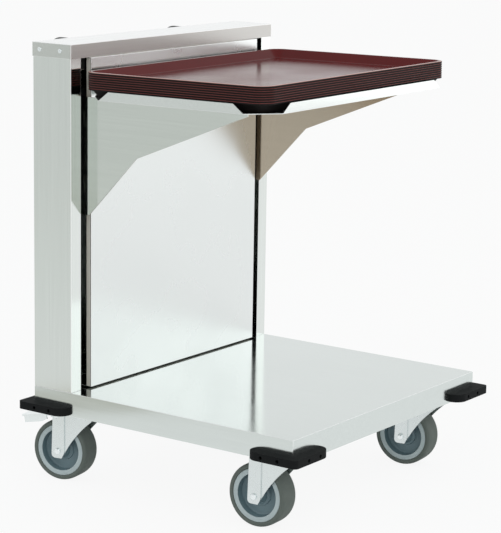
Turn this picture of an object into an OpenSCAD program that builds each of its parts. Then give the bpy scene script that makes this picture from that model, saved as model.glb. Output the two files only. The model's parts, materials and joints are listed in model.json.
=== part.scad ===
// Mobile self-levelling tray dispenser, in millimetres.
// The origin is on the floor under the middle of the whole outline, bumpers and push handles
// included, +Z up. The open front faces -Y.
// A stainless base on four castors carries a hollow tower at its back edge. A sprung carriage
// rolls up and down inside the tower. Its two side plates come out through slots and hold
// the shelf with its pile of trays.

/* [Base] */
// Width of the base and of the tower, side to side
body_w = 660; // [600:10:760]
// Depth of the base, front to back
body_d = 630; // [580:10:700]
// Height of the deck's skirt
skirt_h = 48; // [36:1:54]
// Thickness of the folded stainless sheet
sheet = 1.5; // [1:0.25:2]
// Inward lip along the skirt's lower edge
skirt_lip = 12; // [8:1:16]
// Height of the channels that stiffen the deck
channel_h = 40.5; // [36:0.5:46]
// Width of the channels that stiffen the deck
channel_w = 118; // [112:1:126]

/* [Castors] */
// Overall height of a castor, floor to top plate
castor_h = 158; // [154:1:166]
// Diameter of the castor's wheel
wheel_d = 125; // [115:1:128]
// Width of the tyre
wheel_w = 46; // [36:1:50]
// Distance of the axle behind the swivel
trail = 42; // [36:1:46]
// Swivel's distance from the base's side
swivel_in_x = 67; // [62:1:74]
// Swivel's distance from the base's front or back
swivel_in_y = 70.6; // [66:0.1:76]
// Diameter of the axle bolt
axle_d = 10; // [8:0.5:12]
// Gap between the brake shoe and the tyre when the brake is off
brake_gap = 6; // [5.5:0.25:8]
// Width of the brake pedal's tread
pedal_w = 54; // [50:1:58]

/* [Bumpers] */
// How far a corner bumper stands out from the skirt
bumper_out = 24; // [18:1:28]
// Height of a corner bumper
bumper_h = 16; // [14:0.5:24]
// Length of each leg of a corner bumper
bumper_leg = 116; // [108:1:130]
// Height of the bumper's lower face above the skirt's lower edge
bumper_lift = 2; // [1:0.5:6]

/* [Tower] */
// Height of the whole tower above the floor
total_h = 890; // [850:5:960]
// Depth of the tower, front to back
tower_d = 96; // [92:1:110]
// Width of the flange that closes the tower's front beside each slot
flange_w = 30; // [24:1:32]
// How far the flange turns back into the tower
hem = 12; // [8:1:14]
// Width of the slot beside the front panel
slot_w = 24; // [20:1:30]
// How far the front panel stands out before the flanges
panel_out = 6; // [4:0.5:8]
// Gap under the front panel
panel_gap = 3; // [2:0.5:5]
// How far the front panel's edges turn back
panel_turn = 14; // [11:1:16]
// Height of the cap's skirt
cap_skirt = 28; // [24:1:34]
// Clear gap between the tower and the cap's skirt
cap_gap = 1; // [0.5:0.25:1.5]

/* [Carriage] */
// Height of the shelf's underside at the middle of the base, when it is up
shelf_z = 789; // [760:1:800]
// Upward slope of the shelf towards the front, in degrees
rake = 0.7; // [0:0.1:1.5]
// Depth of the shelf, front to back
shelf_d = 445; // [400:5:460]
// Gap between the shelf's back edge and the front panel
shelf_back = 11; // [8:1:20]
// Height of the lips around the shelf
lip_h = 18.4; // [12:0.2:24]
// Length cut off each corner of the shelf
corner_cut = 51; // [30:1:60]
// Run of a lip's slanted end for each millimetre of height
lip_slant = 1.34; // [0.8:0.02:1.6]
// Thickness of the side plates that carry the shelf
plate_t = 3; // [2:0.5:4]
// How far the side plates reach below the shelf
plate_drop = 235; // [220:5:240]
// Place of the bend in a side plate's lower edge, in front of the base's middle line
knee_y = 90; // [60:5:120]
// Depth of a side plate at that bend
knee_drop = 112; // [90:2:130]
// Place where a side plate ends at the front
nose_y = -172; // [-190:2:-120]
// How far the lift travels down
travel = 344; // [200:4:344]
// Diameter of a guide roller
roller_d = 35.4; // [30:0.2:38]
// Width of a guide roller
roller_w = 14; // [10:1:16]
// Wall of the guide rails
rail_t = 2; // [1.5:0.25:2.5]

/* [Trays] */
// Length of a tray, side to side
tray_w = 645; // [500:5:650]
// Depth of a tray, front to back
tray_d = 432; // [340:2:436]
// Height of one tray
tray_h = 20; // [16:1:24]
// Height that each further tray adds to the pile
tray_pitch = 4.4; // [4:0.1:6]
// Radius of a tray's corners
tray_r = 32; // [26:1:60]
// Thickness of a tray's wall
tray_t = 2.4; // [2:0.1:2.6]

/* [Push handles] */
// Diameter of the grip
grip_d = 25; // [20:1:30]
// Distance from the rear panel to the middle line of the grip
grip_out = 73; // [60:1:80]
// Distance between a handle's two arms
arm_apart = 150; // [120:2:180]
// Distance between the two handles
grip_apart = 370; // [200:2:440]
// Distance from the top of the tower to the middle line of the upper arm
arm_drop = 17.5; // [17:0.5:40]

/* [Hidden] */
corner_names = ["front_left", "front_right", "back_left", "back_right"];
tray_names = [for (i = [1:8]) str("tray_", i)];

// Colours
steel = "#c9cccb";
zinc = "#dfe6e8";
inner_steel = "#a9adaf";
rubber = "#24282a";
wheel_grey = "#8fa3aa";
tyre_grey = "#4a524f";
maroon = "#5b1d1c";

// Small clearances
touch = 0.3;
run_gap = 0.05;
eps = 0.01;
round_fn = 64;

// The middle of the outline, front to back, measured from the middle of the base
back_reach = body_d / 2 - sheet + grip_out + grip_d / 2;
front_reach = body_d / 2 + bumper_out;
middle_y = (back_reach - front_reach) / 2;

// Heights of the base
deck_z = castor_h + channel_h + sheet;
skirt_z = deck_z - skirt_h;

// The tower's planes
half_w = body_w / 2;
half_d = body_d / 2;
tower_y = half_d - tower_d;
panel_y = tower_y - panel_out;
side_in = half_w - sheet;
panel_half = half_w - flange_w - slot_w;
plate_x = half_w - flange_w - slot_w / 2;
cap_out = cap_gap + sheet;
cap_z = total_h - cap_skirt;
rivet_d = 4;
rivet_in_front = 25;
rivet_in_back = 19;
back_in_y = half_d - 2 * sheet;
rear_flange = 20;

// The rails, in which the rollers run
rail_y = half_d - 47;
rail_in = roller_d + 2 * touch;
rail_depth = 22;
beam_h = 22;
beam_top = cap_z - 2;
beam_z = beam_top - beam_h;
rail_top = beam_z - 2;
beam_y0 = rail_y - 40;
beam_y1 = rail_y + 22;

// The carriage's parts
bar_t = 2;
plate_z = shelf_z - plate_drop;
plate_behind = 24;
plate_back = rail_y + plate_behind;
plate_head = 41.3;
heel_front = 11;
heel_y = tower_y - heel_front;
nose_h = 9;
flange_in = 24;
plate_top = beam_z - plate_head;
bar_h = 30;
lower_bar_up = 6;
lower_bar_z = plate_z + lower_bar_up;
lower_bar_front = 36;
lower_bar_y = rail_y - lower_bar_front;
upper_bar_h = 40;
upper_bar_front = 6;
upper_bar_y = rail_y - upper_bar_front;
bar_behind = 20;
bar_back = rail_y + bar_behind;
roller_over_bar = 14;
roller_under_bar = 22;
roller_low_z = lower_bar_z + bar_h + roller_over_bar;
roller_high_z = plate_top - upper_bar_h - roller_under_bar;
pin_d = 10;
pin_head_d = 16;
pin_head_h = 6;
spacer_d = 16;
roller_side = side_in - rail_t - 4.5;

// The stops
floor_plate_t = panel_gap;
buffer_d = 30;
buffer_x = 110;
lower_buffer_h = lower_bar_z - travel - deck_z - floor_plate_t - touch;
upper_buffer_h = beam_z - plate_top - touch;
upper_buffer_d = 26;
upper_buffer_y = bar_back - upper_buffer_d / 2;

// The springs
spring_d = 20;
spring_wire = 2.5;
spring_x = [-230, -150, -70, 70, 150, 230];
spring_front = 21;
spring_y = rail_y - spring_front;
spring_hook = 13;
spring_hole = 9;
spring_bend = 5;

// The castor's parts, and how far each castor stands turned
castor_yaw = [2.9, 5.3, 9, 0];
fork_t = 2.5;
fork_step = 2.5;
foot_r = 14.5;
foot_corner = 8;
hollow_r = 254;
hollow_y = -195;
hollow_z = -64;
shoulder_r = 5;
wheel_gap = 2.5;
fork_in = wheel_w / 2 + wheel_gap;
fork_out = fork_in + fork_t;
top_plate_t = 3;
top_plate_x = 105;
top_plate_y = 85;
bolt_apart_x = 84;
bolt_apart_y = 60;
race_h = 5;
race_d = 60;
crown_z = castor_h - top_plate_t - race_h - 4.3;
crown_t = 3;
crown_r = 43;
kingpin_d = 18;
kingpin_head = 28;
axle_z = wheel_d / 2;
tyre_t = 9.9;
rim_r = axle_z - tyre_t;
sleeve_d = axle_d + 4;
hub_r = sleeve_d / 2 + 8;
castor_bolt_d = 10;
pedal_pin_d = 8;
pedal_y = trail + 3;
pedal_z = wheel_d + 9;
shoe_y0 = 6;
shoe_y1 = 21;

// The bumper's screws sit at the bottom of wider holes
bumper_hole_d = 7;
bumper_hole_first = 43;
bumper_hole_apart = 37.5;
bumper_floor = 8;
screw_d = 4.8;
screw_hole_d = 5;

// The push handle's bends, feet and bolts
grip_z = total_h - arm_drop - arm_apart / 2;
grip_bend = 18;
foot_t = 5;
foot_d = grip_d + 4;
handle_bolt_d = 8;
handle_bolt_depth = 15;

// The shelf and the trays on it
shelf_y1 = panel_y - shelf_back;
shelf_y0 = shelf_y1 - shelf_d;
tray_y = (shelf_y0 + shelf_y1) / 2 + 2.5;
tray_lift = touch;
tray_rim = tray_pitch - tray_lift;
rim_w = 6.5;
wall_run = 0.88;
toe_w = rim_w + wall_run * (tray_h - tray_t);

function corner_x(i) = (i % 2 == 0 ? -1 : 1) * (half_w - swivel_in_x);
function corner_y(i) = (i < 2 ? -1 : 1) * (half_d - swivel_in_y);

// A block given by its two corners
module block(a, b) {
    translate(a)
        cube(b - a);
}

// A rod along Y between two places
module rod_y(y0, y1, d) {
    translate([0, y0, 0])
        rotate([-90, 0, 0])
            cylinder(h = y1 - y0, d = d, $fn = round_fn);
}

// A rod along X between two places
module rod_x(x0, x1, d) {
    translate([x0, 0, 0])
        rotate([0, 90, 0])
            cylinder(h = x1 - x0, d = d, $fn = round_fn);
}

// Mirrors what is drawn for the right side on to the left
module on_side(left) {
    mirror([left ? 1 : 0, 0, 0])
        children();
}

// Mirrors what is drawn for the back right corner on to another corner
module on_corner(i) {
    mirror([i % 2 == 0 ? 1 : 0, 0, 0])
        mirror([0, i < 2 ? 1 : 0, 0])
            children();
}

// The deck, folded down on four sides with a lip turned in below
module base_deck() {
    color(steel)
        difference() {
            block([-half_w, -half_d, skirt_z], [half_w, half_d, deck_z]);
            block([-side_in, -half_d + sheet, skirt_z + sheet], [side_in, half_d - sheet, deck_z - sheet]);
            block([-side_in + skirt_lip, -half_d + sheet + skirt_lip, skirt_z - 1],
                  [side_in - skirt_lip, half_d - sheet - skirt_lip, deck_z - sheet - 1]);
            for (i = [0:3])
                on_corner(i)
                    bumper_holes(screw_hole_d, -sheet - 2);
        }
}

// Two channels under the deck, open upwards, that the castors are bolted to
module deck_channels() {
    end = half_d - sheet - skirt_lip - 2;
    color(inner_steel)
        for (s = [-1, 1])
            translate([s * (half_w - swivel_in_x), 0, 0])
                difference() {
                    block([-channel_w / 2, -end, castor_h], [channel_w / 2, end, castor_h + channel_h]);
                    block([-channel_w / 2 + bar_t, -end - 1, castor_h + bar_t],
                          [channel_w / 2 - bar_t, end + 1, castor_h + channel_h + 1]);
                    for (e = [-1, 1])
                        translate([0, e * (half_d - swivel_in_y), castor_h - 1])
                            castor_bolt_places()
                                cylinder(h = bar_t + 2, d = castor_bolt_d + 1, $fn = round_fn);
                }
}

module castor_bolt_places() {
    for (x = [-1, 1], y = [-1, 1])
        translate([x * bolt_apart_x / 2, y * bolt_apart_y / 2, 0])
            children();
}

// The four fixed top plates, each with its ball race and the kingpin that holds the fork
module castor_plates() {
    color(zinc)
        for (i = [0:3])
            translate([corner_x(i), corner_y(i), 0])
                castor_plate();
}

module castor_plate() {
    under = castor_h - top_plate_t;
    difference() {
        union() {
            block([-top_plate_x / 2, -top_plate_y / 2, under], [top_plate_x / 2, top_plate_y / 2, castor_h]);
            translate([0, 0, under - race_h])
                cylinder(h = race_h + 1, d = race_d, $fn = round_fn);
            translate([0, 0, crown_z - crown_t - touch])
                cylinder(h = under - crown_z + crown_t + touch, d = kingpin_d, $fn = round_fn);
            translate([0, 0, crown_z - crown_t - touch - 3])
                cylinder(h = 3, d = kingpin_head, $fn = round_fn);
        }
        translate([0, 0, under - 1])
            castor_bolt_places()
                cylinder(h = top_plate_t + 2, d = castor_bolt_d + 1, $fn = round_fn);
    }
}

// Sixteen bolts with their nuts, four to a castor
module castor_bolts() {
    head_h = 6.4;
    across = 17 / cos(30);
    color(zinc)
        for (i = [0:3])
            translate([corner_x(i), corner_y(i), castor_h])
                castor_bolt_places() {
                    translate([0, 0, -top_plate_t - head_h])
                        cylinder(h = head_h, d = across, $fn = 6);
                    translate([0, 0, -top_plate_t - eps])
                        cylinder(h = top_plate_t + bar_t + 12, d = castor_bolt_d, $fn = round_fn);
                    translate([0, 0, bar_t])
                        cylinder(h = 8, d = across, $fn = 6);
                }
}

// A bumper's outline in plan, at the back right corner
module bumper_plan() {
    nose = 9;
    ox = half_w + bumper_out;
    oy = half_d + bumper_out;
    difference() {
        union() {
            translate([ox - bumper_leg + bumper_out, half_d])
                square([bumper_leg - bumper_out - nose, bumper_out]);
            translate([half_w, oy - bumper_leg + bumper_out])
                square([bumper_out, bumper_leg - bumper_out - nose]);
            translate([half_w, half_d])
                square([bumper_out - nose, bumper_out]);
            translate([half_w, half_d])
                square([bumper_out, bumper_out - nose]);
            translate([ox - nose, oy - nose])
                circle(r = nose, $fn = round_fn);
            translate([ox - bumper_leg + bumper_out, half_d])
                circle(r = bumper_out, $fn = round_fn);
            translate([half_w, oy - bumper_leg + bumper_out])
                circle(r = bumper_out, $fn = round_fn);
        }
        translate([half_w - 2 * bumper_leg, half_d - 2 * bumper_leg])
            square([2 * bumper_leg, 2 * bumper_leg]);
    }
}

// Places what is drawn along +X at the two screw holes of each leg, at the back right corner
module bumper_hole_places() {
    for (k = [0, 1]) {
        along = bumper_out - bumper_hole_first - k * bumper_hole_apart;
        translate([0, 0, skirt_z + bumper_lift + bumper_h / 2]) {
            translate([half_w, half_d + along, 0])
                children();
            translate([half_w + along, half_d, 0])
                rotate([0, 0, 90])
                    children();
        }
    }
}

module bumper_holes(d, start) {
    bumper_hole_places()
        rod_x(start, bumper_out + 1, d);
}

// A black rubber corner bumper
module bumper(i) {
    color(rubber)
        on_corner(i)
            difference() {
                translate([0, 0, skirt_z + bumper_lift])
                    linear_extrude(bumper_h)
                        bumper_plan();
                bumper_holes(bumper_hole_d, bumper_floor);
                bumper_holes(screw_hole_d, -1);
            }
}

// Sixteen screws with their nuts, which hold the bumpers
module bumper_screws() {
    nut = [10, 5];
    head = [bumper_hole_d - 0.2, 3];
    color(inner_steel)
        for (i = [0:3])
            on_corner(i)
                bumper_hole_places() {
                    rod_x(-sheet - nut[1] - 1, bumper_floor + 1, screw_d);
                    rod_x(bumper_floor + 0.05, bumper_floor + head[1], head[0]);
                    rod_x(-sheet - nut[1], -sheet - 0.05, nut[0]);
                }
}

// One side of the tower, folded from a sheet: side wall, front flange with its hem,
// rear flange, and a foot that stands on the deck
module tower_side(left) {
    top = total_h - sheet - 0.2;
    color(steel)
        on_side(left)
            difference() {
                union() {
                    block([side_in, tower_y, deck_z], [half_w, half_d, top]);
                    block([half_w - flange_w, tower_y, deck_z], [half_w, tower_y + sheet, top]);
                    block([half_w - flange_w, tower_y, deck_z],
                          [half_w - flange_w + sheet, tower_y + hem, beam_z - 1]);
                    block([half_w - rear_flange, half_d - sheet, deck_z], [half_w, half_d, top]);
                    block([half_w - rear_flange, tower_y + hem + 2, deck_z],
                          [half_w, half_d - sheet - 2, deck_z + sheet]);
                }
                cap_rivet_row()
                    rod_x(side_in - 1, half_w + 1, rivet_d + 0.2);
            }
}

// The sheet that closes the back of the tower, inside the rear flanges
module rear_panel() {
    color(steel)
        difference() {
            block([-side_in + 1, back_in_y, deck_z], [side_in - 1, half_d - sheet, total_h - sheet - touch]);
            handle_bolt_places()
                rod_y(-1, sheet + 1, handle_bolt_d);
        }
}

// The bright front panel, folded back at its four edges
module front_panel() {
    z0 = deck_z + panel_gap;
    z1 = beam_top + sheet;
    foot = 12;
    color(steel)
        union() {
            block([-panel_half, panel_y, z0], [panel_half, panel_y + sheet, z1]);
            for (s = [0, 1])
                mirror([s, 0, 0])
                    block([panel_half - sheet, panel_y, z0], [panel_half, panel_y + panel_turn, z1]);
            block([-panel_half, panel_y, z0], [panel_half, panel_y + panel_turn + foot, z0 + sheet]);
            block([-panel_half, panel_y, beam_top], [panel_half, beam_y0 + foot, z1]);
        }
}

// The cap that closes the top of the tower, folded down in front and at both sides
module top_cap() {
    color(steel)
        difference() {
            block([-half_w - cap_out, tower_y - cap_out, cap_z], [half_w + cap_out, half_d, total_h]);
            block([-half_w - cap_gap, tower_y - cap_gap, cap_z - 1],
                  [half_w + cap_gap, half_d + 1, total_h - sheet]);
            for (s = [0, 1])
                mirror([s, 0, 0])
                    cap_rivet_row()
                        rod_x(half_w - 4, half_w + cap_out + 1, rivet_d + 0.2);
        }
}

// Two rivets through the cap's skirt and the tower's right side
module cap_rivet_row() {
    for (y = [tower_y + rivet_in_front, half_d - rivet_in_back])
        translate([0, y, total_h - cap_skirt / 2])
            children();
}

module cap_rivets() {
    head = [9, 5, 1.4];
    color(zinc)
        for (s = [0, 1])
            mirror([s, 0, 0])
                cap_rivet_row() {
                    rod_x(side_in - 1.5, half_w + cap_out + 0.2, rivet_d);
                    translate([half_w + cap_out + 0.05, 0, 0])
                        rotate([0, 90, 0])
                            cylinder(h = head[2], d1 = head[0], d2 = head[1], $fn = round_fn);
                }
}

// A channel on the inside of the tower's side wall, in which two rollers run
module guide_rail(left) {
    color(inner_steel)
        on_side(left)
            difference() {
                block([side_in - rail_depth, rail_y - rail_in / 2 - rail_t, deck_z + sheet],
                      [side_in, rail_y + rail_in / 2 + rail_t, rail_top]);
                block([side_in - rail_depth - 1, rail_y - rail_in / 2, deck_z],
                      [side_in - rail_t, rail_y + rail_in / 2, rail_top + 1]);
            }
}

// The channel across the top of the tower, from which the springs hang
module spring_beam() {
    color(inner_steel)
        difference() {
            block([-side_in, beam_y0, beam_z], [side_in, beam_y1, beam_top]);
            block([-side_in - 1, beam_y0 + bar_t, beam_z + bar_t],
                  [side_in + 1, beam_y1 - bar_t, beam_top + 1]);
            for (x = spring_x)
                translate([x, spring_y, beam_z - 1])
                    cylinder(h = bar_t + 2, d = spring_hole, $fn = round_fn);
        }
}

// The plate on the deck inside the tower, which carries the panel's foot and the lower stops
module floor_plate() {
    color(inner_steel)
        block([-panel_half + 4, panel_y + 10, deck_z], [panel_half - 4, bar_back, deck_z + floor_plate_t]);
}

// Rubber stops: two on the floor plate for the carriage to come down on, and two under the
// spring beam that hold it down against its springs
module stop_buffers() {
    color(rubber)
        for (s = [-1, 1]) {
            translate([s * buffer_x, rail_y, deck_z + floor_plate_t])
                cylinder(h = lower_buffer_h, d = buffer_d, $fn = round_fn);
            translate([s * buffer_x, upper_buffer_y, beam_z - upper_buffer_h])
                cylinder(h = upper_buffer_h, d = upper_buffer_d, $fn = round_fn);
        }
}

// A push handle on the tower's back: a grip and two arms, with round feet on the rear panel
module push_handle(left) {
    straight = arm_apart - 2 * grip_bend;
    color(rubber)
        on_side(left)
            translate([grip_apart / 2, half_d - sheet, grip_z])
                difference() {
                    union() {
                        translate([0, grip_out, -straight / 2])
                            cylinder(h = straight, d = grip_d, $fn = round_fn);
                        for (e = [0, 1])
                            mirror([0, 0, e])
                                handle_arm(straight / 2);
                    }
                    for (e = [-1, 1])
                        translate([0, 0, e * arm_apart / 2])
                            rod_y(-1, handle_bolt_depth, handle_bolt_d);
                }
}

// The upper bend, its arm and the foot
module handle_arm(bend_z) {
    translate([0, grip_out - grip_bend, bend_z])
        rotate([90, 0, 90])
            rotate_extrude(angle = 90, $fn = 96)
                translate([grip_bend, 0])
                    circle(d = grip_d, $fn = round_fn);
    translate([0, 0, arm_apart / 2]) {
        rod_y(0, grip_out - grip_bend, grip_d);
        rod_y(0, foot_t, foot_d);
    }
}

// Where the handles' four bolts come through the rear panel, from its inner face outwards
module handle_bolt_places() {
    for (s = [-1, 1], e = [-1, 1])
        translate([s * grip_apart / 2, back_in_y, grip_z + e * arm_apart / 2])
            children();
}

module handle_bolts() {
    head = [13 / cos(30), 5.4];
    color(zinc)
        handle_bolt_places() {
            rod_y(-1, sheet + handle_bolt_depth - 2, handle_bolt_d - 0.2);
            translate([0, -0.05, 0])
                rotate([90, 0, 0])
                    cylinder(h = head[1], d = head[0], $fn = 6);
        }
}

// Extension springs from the beam down to the carriage's lower bar, each with two hooks
module lift_springs() {
    z0 = lower_bar_z + bar_t + spring_hook;
    z1 = beam_z - spring_hook;
    color(inner_steel)
        for (x = spring_x)
            translate([x, spring_y, 0]) {
                translate([0, 0, z0])
                    spring_body(z1 - z0);
                translate([0, 0, z1 - 1])
                    spring_eye(beam_z + bar_t + touch - z1 + 1);
                translate([0, 0, z0 + 1])
                    mirror([0, 0, 1])
                        spring_eye(z0 + 1 - lower_bar_z + touch);
            }
}

// The closely wound part, hollow inside
module spring_body(h) {
    difference() {
        cylinder(h = h, d = spring_d, $fn = round_fn);
        translate([0, 0, spring_wire])
            cylinder(h = h - 2 * spring_wire, d = spring_d - 2 * spring_wire, $fn = round_fn);
    }
}

// A straight shank through the bar, bent over on to the bar's far face
module spring_eye(h) {
    cylinder(h = h, d = spring_wire, $fn = 24);
    translate([spring_bend, 0, h - eps])
        rotate([90, 0, 0])
            rotate_extrude(angle = 180, $fn = round_fn)
                translate([spring_bend, 0])
                    circle(d = spring_wire, $fn = 24);
}

// The fork of a castor in its own place, with the swivel at the origin and the wheel towards
// +Y. It is one plate bent over the wheel, with a strip of each leg pressed outwards.
module fork(braked) {
    race_top = castor_h - top_plate_t - race_h - touch;
    color(zinc)
        difference() {
            union() {
                intersection() {
                    fork_arch();
                    translate([-fork_out - fork_step, 0, 0])
                        leg_plate(2 * (fork_out + fork_step))
                            leg_outline();
                    linear_extrude(castor_h)
                        crown_plan();
                }
                translate([0, 0, crown_z - eps])
                    cylinder(h = race_top - crown_z + eps, d = race_d + 2, $fn = round_fn);
            }
            translate([0, 0, crown_z - 20])
                cylinder(h = 40, d = kingpin_d + 2 * run_gap, $fn = round_fn);
            translate([0, trail, axle_z])
                rod_x(-fork_out - 10, fork_out + 10, axle_d + 2 * run_gap);
            if (braked)
                translate([0, pedal_y, pedal_z])
                    rod_x(-fork_out - 10, fork_out + 10, pedal_pin_d + 2 * run_gap);
        }
}

// Stands an outline drawn in Y and Z up as a plate of the given thickness along X
module leg_plate(t) {
    rotate([90, 0, 90])
        linear_extrude(t)
            children();
}

// The bent plate all along Y: two legs, round shoulders and the crown. The pressed strips
// stand out a step further.
module fork_arch() {
    strip = [trail - 15, trail + 20];
    y0 = -crown_r - 1;
    y1 = trail + 20;
    difference() {
        union() {
            along_y(y0, y1)
                arch(fork_out, crown_z, shoulder_r + fork_t);
            along_y(strip[0], strip[1])
                arch(fork_out + fork_step, crown_z, shoulder_r + fork_t + fork_step);
        }
        along_y(y0 - 1, y1 + 1)
            arch(fork_in, crown_z - crown_t, shoulder_r);
    }
}

module along_y(y0, y1) {
    translate([0, y1, 0])
        rotate([90, 0, 0])
            linear_extrude(y1 - y0)
                children();
}

// An upright outline with two round top corners
module arch(half, top, r) {
    translate([-half, 0])
        square([2 * half, top - r]);
    translate([-half + r, 0])
        square([2 * (half - r), top]);
    for (s = [-1, 1])
        translate([s * (half - r), top - r])
            circle(r = r, $fn = round_fn);
}

// One leg seen from the side: straight at the back, a foot with round corners at the axle, and a
// long hollow curve from there to the crown's front edge
module leg_outline() {
    back = trail + foot_r;
    heel = axle_z - foot_r + foot_corner;
    tip = -crown_r + 1;
    difference() {
        union() {
            for (s = [-1, 1])
                translate([trail + s * (foot_r - foot_corner), heel])
                    circle(r = foot_corner, $fn = round_fn);
            translate([trail - foot_r + foot_corner, heel - foot_corner])
                square([2 * (foot_r - foot_corner), foot_corner + 1]);
            polygon([[back, heel], [back - 3, crown_z + 1], [tip, crown_z + 1],
                     [tip, crown_z - 14], [trail - foot_r, heel]]);
        }
        translate([hollow_y, hollow_z])
            circle(r = hollow_r, $fn = 256);
    }
}

// The round top of the fork, drawn out over the wheel
module crown_plan() {
    wide = fork_out + fork_step;
    intersection() {
        union() {
            circle(r = crown_r, $fn = round_fn);
            translate([-wide, 0])
                square([2 * wide, trail + foot_r]);
        }
        translate([-wide, -crown_r])
            square([2 * wide, crown_r + trail + foot_r]);
    }
}

// Bolt, nut and the sleeve that the wheel turns on
module axle() {
    head_h = 4;
    color(zinc)
        translate([0, trail, axle_z]) {
            rod_x(-fork_out - fork_step - 0.1, fork_out + fork_step + 9, axle_d);
            translate([-fork_out - fork_step - head_h, 0, 0])
                rod_x(0, head_h - 0.05, axle_d + 6);
            translate([fork_out + fork_step + 0.05, 0, 0])
                rotate([0, 90, 0])
                    cylinder(h = 7, d = 16 / cos(30), $fn = 6);
            difference() {
                rod_x(-fork_in + 0.1, fork_in - 0.1, sleeve_d);
                rod_x(-fork_in, fork_in, axle_d + 2 * run_gap);
            }
        }
}

// The wheel's moulded centre: a hub, a thin web and a broad ring
module wheel_centre() {
    bore = sleeve_d / 2 + run_gap;
    web = 4.5;
    ring_w = 9.8;
    half_hub = wheel_w / 2 + wheel_gap - 0.8;
    half_rim = wheel_w / 2 - 2;
    color(wheel_grey)
        translate([0, trail, axle_z])
            rotate([0, 90, 0])
                rotate_extrude($fn = 96)
                    polygon([[bore, -half_hub], [hub_r, -half_hub], [hub_r + 2, -web],
                             [rim_r - ring_w - 1, -web], [rim_r - ring_w, -half_rim],
                             [rim_r, -half_rim], [rim_r, half_rim], [rim_r - ring_w, half_rim],
                             [rim_r - ring_w - 1, web], [hub_r + 2, web], [hub_r, half_hub],
                             [bore, half_hub]]);
}

// The rubber tyre, slightly crowned, with rounded shoulders
module tyre() {
    h = wheel_w / 2;
    color(tyre_grey)
        translate([0, trail, axle_z])
            rotate([0, 90, 0])
                rotate_extrude($fn = 96)
                    polygon([[rim_r + run_gap, -h + 2], [rim_r + 1.5, -h], [axle_z - 5, -h],
                             [axle_z - 2, -h + 1.5], [axle_z - 0.5, -h + 4.5], [axle_z, -h + 11],
                             [axle_z, h - 11], [axle_z - 0.5, h - 4.5], [axle_z - 2, h - 1.5],
                             [axle_z - 5, h], [rim_r + 1.5, h], [rim_r + run_gap, h - 2]]);
}

// The brake pedal, hinged on a pin through the fork's legs behind the crown, with its shoe
// over the tyre and a wider tread beyond the wheel
module brake_pedal() {
    arm = fork_in - 4;
    arm_t = 3;
    tread = [64, -11];
    color(zinc)
        difference() {
            union() {
                translate([0, pedal_y, pedal_z])
                    rod_x(-fork_out - fork_step - 1, fork_out + fork_step + 1, pedal_pin_d);
                block([-arm, pedal_y, pedal_z], [arm, pedal_y + shoe_y1 + 6, pedal_z + arm_t]);
                block([-wheel_w / 2 + 5, pedal_y + shoe_y0, axle_z],
                      [wheel_w / 2 - 5, pedal_y + shoe_y1, pedal_z + 1]);
                translate([0, pedal_y + shoe_y1 + 5, pedal_z])
                    rotate([tread[1], 0, 0])
                        pedal_tread(tread[0], arm_t);
            }
            translate([0, trail, axle_z])
                rod_x(-wheel_w, wheel_w, wheel_d + 2 * brake_gap);
        }
}

// A plate with two round outer corners and its sides folded down beside the tyre
module pedal_tread(length, t) {
    r = 10;
    side_t = 2.5;
    side_h = 13;
    for (s = [-1, 1])
        block([s * (pedal_w / 2 - side_t / 2) - side_t / 2, 0, -side_h],
              [s * (pedal_w / 2 - side_t / 2) + side_t / 2, length - r, eps]);
    linear_extrude(t) {
        translate([-pedal_w / 2, 0])
            square([pedal_w, length - r]);
        translate([-pedal_w / 2 + r, 0])
            square([pedal_w - 2 * r, length]);
        for (s = [-1, 1])
            translate([s * (pedal_w / 2 - r), length - r])
                circle(r = r, $fn = round_fn);
    }
}

// The shelf's frame: its underside's middle line at the height shelf_z, sloping up to the front
module raked() {
    translate([0, 0, shelf_z])
        rotate([-rake, 0, 0])
            children();
}

// The shelf: a plate with its corners cut off and four lips with slanted ends
module tray_shelf() {
    color(steel)
        raked() {
            linear_extrude(sheet)
                polygon([[-half_w + corner_cut, shelf_y0], [half_w - corner_cut, shelf_y0],
                         [half_w, shelf_y0 + corner_cut], [half_w, shelf_y1 - corner_cut],
                         [half_w - corner_cut, shelf_y1], [-half_w + corner_cut, shelf_y1],
                         [-half_w, shelf_y1 - corner_cut], [-half_w, shelf_y0 + corner_cut]]);
            for (x = [-half_w, half_w - sheet])
                translate([x, (shelf_y0 + shelf_y1) / 2, 0])
                    rotate([90, 0, 90])
                        shelf_lip(shelf_d - 2 * corner_cut);
            for (y = [shelf_y0 + sheet, shelf_y1])
                translate([0, y, 0])
                    rotate([90, 0, 0])
                        shelf_lip(body_w - 2 * corner_cut);
        }
}

// A lip standing on its lower edge, with its ends cut at a slant
module shelf_lip(length) {
    run = lip_h * lip_slant;
    linear_extrude(sheet)
        polygon([[-length / 2, 0], [length / 2, 0], [length / 2 - run, lip_h], [-length / 2 + run, lip_h]]);
}

// A side plate of the carriage. Outside it holds the shelf, inside it carries the rollers.
module bracket(left) {
    color(steel)
        on_side(left)
            difference() {
                union() {
                    translate([plate_x - plate_t / 2, 0, 0])
                        leg_plate(plate_t)
                            bracket_outline();
                    bracket_flange();
                }
                for (z = [roller_low_z, roller_high_z])
                    translate([0, rail_y, z])
                        rod_x(plate_x - 10, plate_x + 10, pin_d + 2 * run_gap);
            }
}

function shelf_under(y) = shelf_z - tan(rake) * y;

module bracket_outline() {
    polygon([[plate_back, plate_z], [heel_y, plate_z], [knee_y, shelf_z - knee_drop],
             [nose_y, shelf_under(nose_y) - nose_h], [nose_y, shelf_under(nose_y)],
             [shelf_y1 - 4, shelf_under(shelf_y1 - 4)], [beam_y0 + 6, shelf_under(shelf_y1 - 4)],
             [beam_y0 + 6, plate_top], [plate_back, plate_top]]);
}

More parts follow.
